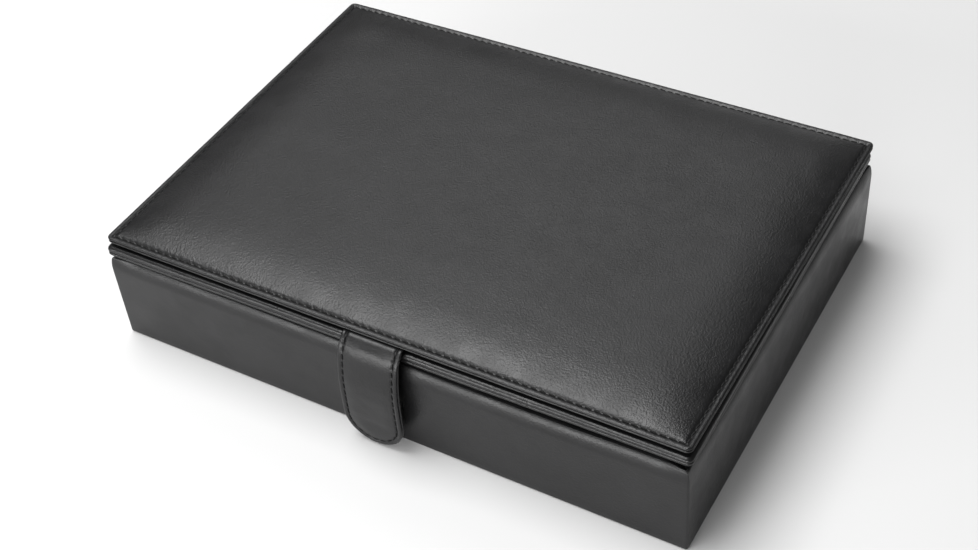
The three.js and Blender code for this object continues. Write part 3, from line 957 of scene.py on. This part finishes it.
def spine_leather():
    """The leather spine: one piece from the box's back to the lid, with turned edges."""
    low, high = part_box("base_spine")
    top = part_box("lid_spine")[1].z
    mid_z, half_z = (low.z + top) / 2, (top - low.z) / 2
    band, cells = 5 * MM, (140, 26)
    grid_x, grid_z = even_grid(high.x - band, half_z - band, mid_z, *cells)
    outline = Outline(high.x, half_z, 2.5 * MM, mid_y=mid_z, counts=cells)

    def face(x, z):
        crease = -0.35 * MM * bell(z - HINGE_Z, 1.1 * MM)
        crease += 0.12 * MM * bell(np.abs(z - HINGE_Z) - 2.4 * MM, 1.2 * MM)
        inset = np.minimum(high.x - np.abs(x), half_z - np.abs(z - mid_z))
        sway = 0.10 * MM * flat_noise(x, z, (30, 14, 1), 61)
        hem = 0.12 * MM * bell(inset - 3 * MM, 1.3 * MM)
        return high.y - 0.1 * MM + hem + (crease + sway) * ramp(inset, 0.5 * MM, 3 * MM)

    grid = np.stack([grid_x, grid_z, face(grid_x, grid_z)], axis=-1)
    insets, angles = (4.2, 3.4, 2.7, 2.1, 1.6, 1.2, 0.9), (65, 45, 25, 5, -15, -35, -60, -85)
    rings = sheet_rings(outline, face, insets, 0.6 * MM, angles, low.y, low.y, (2, 6, 12))
    upright = [0, 2, 1]
    return bordered_grid("spine_leather", grid[..., upright], rings[..., upright], outline)


def wall_lining():
    """The velour round the inside of the walls, its top edge folded over."""
    low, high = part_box("base_lining")
    outline = Outline(high.x, high.y, 0.6 * MM, 3 * MM, arc=4)
    thick = 0.8 * MM
    half = thick / 2
    section = [(0, z) for z in spaced(low.z, high.z - half, 6 * MM)]
    section += arc_points((half, high.z - half), half, 0, 180, 7)[1:]
    section += [(thick, z) for z in spaced(high.z - 3 * MM, low.z, 6 * MM)]
    rings = outline.rings(section)
    inner = np.arange(len(section))[:, None] > len(section) // 2
    outline.push_out(rings, np.where(inner, 0.1 * MM * smooth_noise(rings, 20, 71), 0))
    return hull("wall_lining_velour", rings, closed=True)


def cut_block(name, low, high, cutters, width):
    """A moulded block with hollows cut from its top and every sharp edge rounded."""
    made = block(name, low, high)
    for cutter in cutters:
        cut = made.modifiers.new("cut", "BOOLEAN")
        cut.operation, cut.solver, cut.object = "DIFFERENCE", "EXACT", cutter
    bevel = made.modifiers.new("soften", "BEVEL")
    bevel.width, bevel.segments, bevel.limit_method = width, 3, "ANGLE"
    bevel.angle_limit = math.radians(32)
    bevel.harden_normals = False
    applied(made)
    for cutter in cutters:
        bpy.data.objects.remove(cutter)
    made.data.polygons.foreach_set("use_smooth", [True] * len(made.data.polygons))
    keep = made.modifiers.new("faces", "WEIGHTED_NORMAL")
    keep.keep_sharp = False
    applied(made)
    return made


def applied(obj):
    """Replaces the object's mesh by what its modifiers make of it."""
    bpy.context.view_layer.update()
    graph = bpy.context.evaluated_depsgraph_get()
    result = bpy.data.meshes.new_from_object(obj.evaluated_get(graph))
    obj.modifiers.clear()
    obj.data = result


def block(name, low, high):
    """A plain box between two corners."""
    corners = [(x, y, z) for z in (low[2], high[2]) for y in (low[1], high[1]) for x in (low[0], high[0])]
    faces = [(0, 1, 3, 2), (4, 5, 7, 6), (0, 1, 5, 4), (2, 3, 7, 6), (0, 2, 6, 4), (1, 3, 7, 5)]
    return mesh_object(name, corners, faces, smooth=False)


def chip_tray(node):
    """A tray with two round-bottomed channels for chips on edge."""
    low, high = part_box(node)
    radius, ridge = 20.2 * MM, 2 * MM
    centres = [low.x + ridge + radius, high.x - ridge - radius]
    reach = high.y - 5 * MM
    bar = [(radius, -reach), (radius, reach)]
    cutters = [turned("cutter", bar, (x, 0, high.z), 96, smooth=False) for x in centres]
    return cut_block(node + "_flocked", low, high, cutters, 0.8 * MM)


def card_tray():
    """A tray with four pockets: two card decks, small pieces and dice."""
    low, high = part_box("card_tray")
    wall, half = 3 * MM, 46.5 * MM
    deck, dice = 67 * MM, 19 * MM
    small = (high.y - low.y) - 5 * wall - 2 * deck - dice
    cutters = []
    back = high.y - wall
    for depth in (deck, deck, small, dice):
        pocket_low = (-half, back - depth, 7 * MM)
        cutters.append(block("cutter", pocket_low, (half, back, high.z + 5 * MM)))
        back -= depth + wall
    return cut_block("card_tray_flocked", low, high, cutters, 1.2 * MM)


def turned(name, section, start, around=72, smooth=True):
    """A piece turned about an axis along Y, from its start: section of (radius, distance along)."""
    points = []
    for radius, along in section:
        for a in np.arange(around) / around * 2 * math.pi:
            offset = (radius * math.cos(a), along, radius * math.sin(a))
            points.append([s + o for s, o in zip(start, offset)])
    faces = quads(len(section), around, False, True)
    for first in (0, (len(section) - 1) * around):
        faces.append(tuple(range(first, first + around)))
    return mesh_object(name, points, faces, smooth)


def clasp_pieces():
    """Cup and magnet on the box, disc on the strap, from sections in millimetres."""
    made = {}
    for part in ("cup", "magnet", "disc"):
        low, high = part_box("clasp_" + part)
        r, deep = high.x / MM, (high.y - low.y) / MM
        if part == "cup":
            z = (low.z + high.z) / 2
            m = 7.1
            section = [(0.2, 1.7), (m - 0.3, 1.7), (m, 1.4), (m, 0.35), (m + 0.1, 0.1), (m + 0.35, 0),
                       (r - 0.9, 0), (r - 0.45, 0.12), (r - 0.14, 0.4), (r, 0.9), (r, deep - 0.2),
                       (r - 0.2, deep), (1, deep)]
        elif part == "magnet":
            section = [(0.3, 0.5), (1.4, 0.45), (1.9, 0.1), (2.2, 0), (r - 0.3, 0), (r - 0.08, 0.08),
                       (r, 0.3), (r, deep), (1, deep)]
        else:
            section = [(0.3, 0), (1.2, 0.02), (1.5, 0.25), (2.6, 0.25), (2.9, 0.02), (3.2, 0),
                       (r - 0.8, 0), (r - 0.35, 0.12), (r - 0.1, 0.4), (r, 0.8), (r, deep - 0.15),
                       (r - 0.2, deep), (1, deep)]
            section = [(radius, deep - along) for radius, along in section]
        name = f"clasp_{part}_pressed" if part == "magnet" else f"clasp_{part}_turned"
        made[part] = turned(name, scaled(section), (0, low.y, z))
    return made


# ---- the pad's cloth relief
# The simulated swells are scaled so that nearly all lie within SWELL, and are cut off at the limit.
SWELL = 0.35 * MM
SWELL_LIMIT = 0.45 * MM
CLOTH_FRAMES = 20


def neighbours(field):
    """The sum of each cell's four neighbours, with the border cells repeated outwards."""
    wide = np.pad(field, 1, mode="edge")
    return wide[:-2, 1:-1] + wide[2:, 1:-1] + wide[1:-1, :-2] + wide[1:-1, 2:]


def pad_relief():
    """Relief of the padded cover: a pillow of the pad's size, blown up as cloth over its edges.

    Returns a function of x and y. Only the swells that differ from the plain crown are kept."""
    cell, depth = 5 * MM, 6 * MM
    half_x, half_y = PANEL_X - SEAM, PANEL_Y - SEAM
    nx, ny = round(2 * half_x / cell), round(2 * half_y / cell)
    grid_x, grid_y = even_grid(half_x, half_y, PANEL_MID, nx, ny)
    rise = 0.8 * crown_height(grid_x, grid_y)
    rise += 0.15 * MM * flat_noise(grid_x, grid_y, 15, 81)
    pillow = cushion("pillow", grid_x, grid_y, rise, 0 * rise - depth)
    pins = pillow.vertex_groups.new(name="pins")
    mesh = pillow.data
    held = []
    for v in mesh.vertices:
        edge = min(half_x - abs(v.co.x), half_y - abs(v.co.y - PANEL_MID))
        if v.co.z < -5 * MM or edge < 0.5 * MM:
            held.append(v.index)
    pins.add(held, 1.0, "REPLACE")
    rest = np.array([v.co[:] for v in mesh.vertices])
    cloth_modifier = pillow.modifiers.new("cloth", "CLOTH")
    settings = cloth_modifier.settings
    settings.quality = 6
    settings.mass = 0.4
    settings.tension_stiffness = settings.compression_stiffness = 12
    settings.shear_stiffness = 6
    settings.bending_stiffness = 0.4
    settings.shrink_min = -0.012
    settings.use_pressure = True
    settings.uniform_pressure_force = 4
    settings.vertex_group_mass = "pins"
    settings.effector_weights.gravity = 0
    scene = bpy.context.scene
    scene.frame_start, scene.frame_end = 1, CLOTH_FRAMES
    for frame_number in range(1, CLOTH_FRAMES + 1):
        scene.frame_set(frame_number)
    graph = bpy.context.evaluated_depsgraph_get()
    blown = pillow.evaluated_get(graph).data
    moved = np.array([v.co[:] for v in blown.vertices])
    scene.frame_set(1)
    bpy.data.objects.remove(pillow)
    move = np.clip(moved[:, 2] - rest[:, 2], -6 * MM, 6 * MM)
    field = np.zeros((ny + 1, nx + 1))
    for p, d in zip(rest, move):
        if p[2] > -5 * MM:
            j = round((p[0] + half_x) / (2 * half_x) * nx)
            i = round((p[1] - PANEL_MID + half_y) / (2 * half_y) * ny)
            field[i, j] = d
    smooth = field.copy()
    for _ in range(60):
        smooth = neighbours(smooth) / 4
    detail = field - smooth
    for _ in range(3):
        detail = detail / 2 + neighbours(detail) / 8
    detail *= SWELL / max(np.percentile(np.abs(detail), 99), 1e-9)
    detail = np.clip(detail, -SWELL_LIMIT, SWELL_LIMIT)

    def look_up(x, y):
        u = np.clip((np.asarray(x) + half_x) / (2 * half_x) * nx, 0, nx - 1e-6)
        v = np.clip((np.asarray(y) - PANEL_MID + half_y) / (2 * half_y) * ny, 0, ny - 1e-6)
        i, j = v.astype(int), u.astype(int)
        fu, fv = u - j, v - i
        fu, fv = fu * fu * (3 - 2 * fu), fv * fv * (3 - 2 * fv)
        row = detail[i, j] * (1 - fu) + detail[i, j + 1] * fu
        next_row = detail[i + 1, j] * (1 - fu) + detail[i + 1, j + 1] * fu
        return row * (1 - fv) + next_row * fv

    return look_up


def pad_core():
    """The foam pad under the cover, cut with rounded edges."""
    low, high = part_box("foam_pad")
    half_x, half_y, mid_y = high.x, (high.y - low.y) / 2, (high.y + low.y) / 2
    x, y = even_grid(half_x, half_y, mid_y, 96, 68)
    rise = crown_height(x, y) - 1.3 * MM
    edge = np.minimum(half_x - np.abs(x), half_y - np.abs(y - mid_y))
    rise = np.maximum(rise * ramp(edge, -1.5 * MM, 1.5 * MM), 0.25 * MM)
    return cushion("pad_foam_core", x, y, low.z + rise, low.z + 0 * rise)


# ---- assembly
scene = bpy.context.scene
scene.view_settings.view_transform = "Standard"
add_camera()
add_world(0.15)
for softbox in SOFTBOXES:
    add_softbox(*softbox)
add_floor()

DARK, LIGHT = (0.0035, 0.0035, 0.0037), (0.0075, 0.0075, 0.0079)
outer_leather = leather("black_leather", DARK, LIGHT, 0.36)
smooth_leather = leather("black_leather_smooth", DARK, LIGHT, 0.36, 0.5, 0.5)
edge_leather = leather("black_leather_edges", DARK, LIGHT, 0.31, 0.6, 0.4)
velour = cloth("black_velour", (0.006, 0.006, 0.007), (0.018, 0.018, 0.020), 0.5 * MM, 0.35)
flock = cloth("black_flock", (0.008, 0.008, 0.009), (0.022, 0.022, 0.024), 0.3 * MM, 0.3)
grey_board = board("grey_board", (0.22, 0.20, 0.17), (0.42, 0.39, 0.34))
steel = metal("plated_steel", (0.62, 0.61, 0.58), 0.22)
pad_foam = foam("pad_foam", (0.5, 0.47, 0.36), (0.78, 0.75, 0.64))
black_thread = thread("black_thread", (0.001, 0.001, 0.001), (0.005, 0.005, 0.005))

relief = pad_relief()
finish_piece(box_leather(), smooth_leather, ["base_wrap"], "base")
bottom = sheet_leather("bottom_sheet_leather", "base_bottom_sheet", 1.5 * MM, 0.45 * MM)
finish_piece(bottom, outer_leather, ["base_bottom_sheet"], "base")
walls = ["base_front_board", "base_back_board", "base_left_board", "base_right_board"]
finish_piece(wall_boards(), grey_board, walls, "base")
finish_piece(wall_lining(), velour, ["base_lining"], "base")
for node in ("chip_tray_left", "chip_tray_right"):
    finish_piece(chip_tray(node), flock, [node], "base")
finish_piece(card_tray(), flock, ["card_tray"], "base")
for part, piece in clasp_pieces().items():
    finish_piece(piece, steel, ["clasp_" + part], "strap" if part == "disc" else "base")

finish_piece(lid_core(), grey_board, ["lid_board"], "lid")
finish_piece(lid_leather(), edge_leather, ["lid_wrap"], "lid")
lining = sheet_leather("lid_lining_velour", "lid_lining", 2 * MM, 0.4 * MM, swell=0.06 * MM)
finish_piece(lining, velour, ["lid_lining"], "lid")
finish_piece(backing_leather(), edge_leather, ["panel_backing"], "lid")
finish_piece(pad_core(), pad_foam, ["foam_pad"], "lid")
cover = finish_piece(cover_leather(relief), outer_leather, ["top_cover"], "lid")
finish_piece(panel_stitches(relief), black_thread, [], "lid")

strap_pieces = [
    (strap_layer("strap_outer_leather", 0.0, 0.47, True), smooth_leather, ["strap_outer", "strap_tail"]),
    (strap_layer("strap_inner_leather", 0.53, 1.0, False), outer_leather, ["strap_inner"]),
    (strap_stitches(), black_thread, []),
]
for piece, material, replaced in strap_pieces:
    finish_piece(piece, material, replaced)
    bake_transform(piece)

spine = finish_piece(spine_leather(), outer_leather, ["base_spine", "lid_spine"])
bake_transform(spine)

for node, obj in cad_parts.items():
    if not obj.hide_render:
        obj.data.materials.clear()
        obj.data.materials.append(steel if node.startswith("clasp") else grey_board)
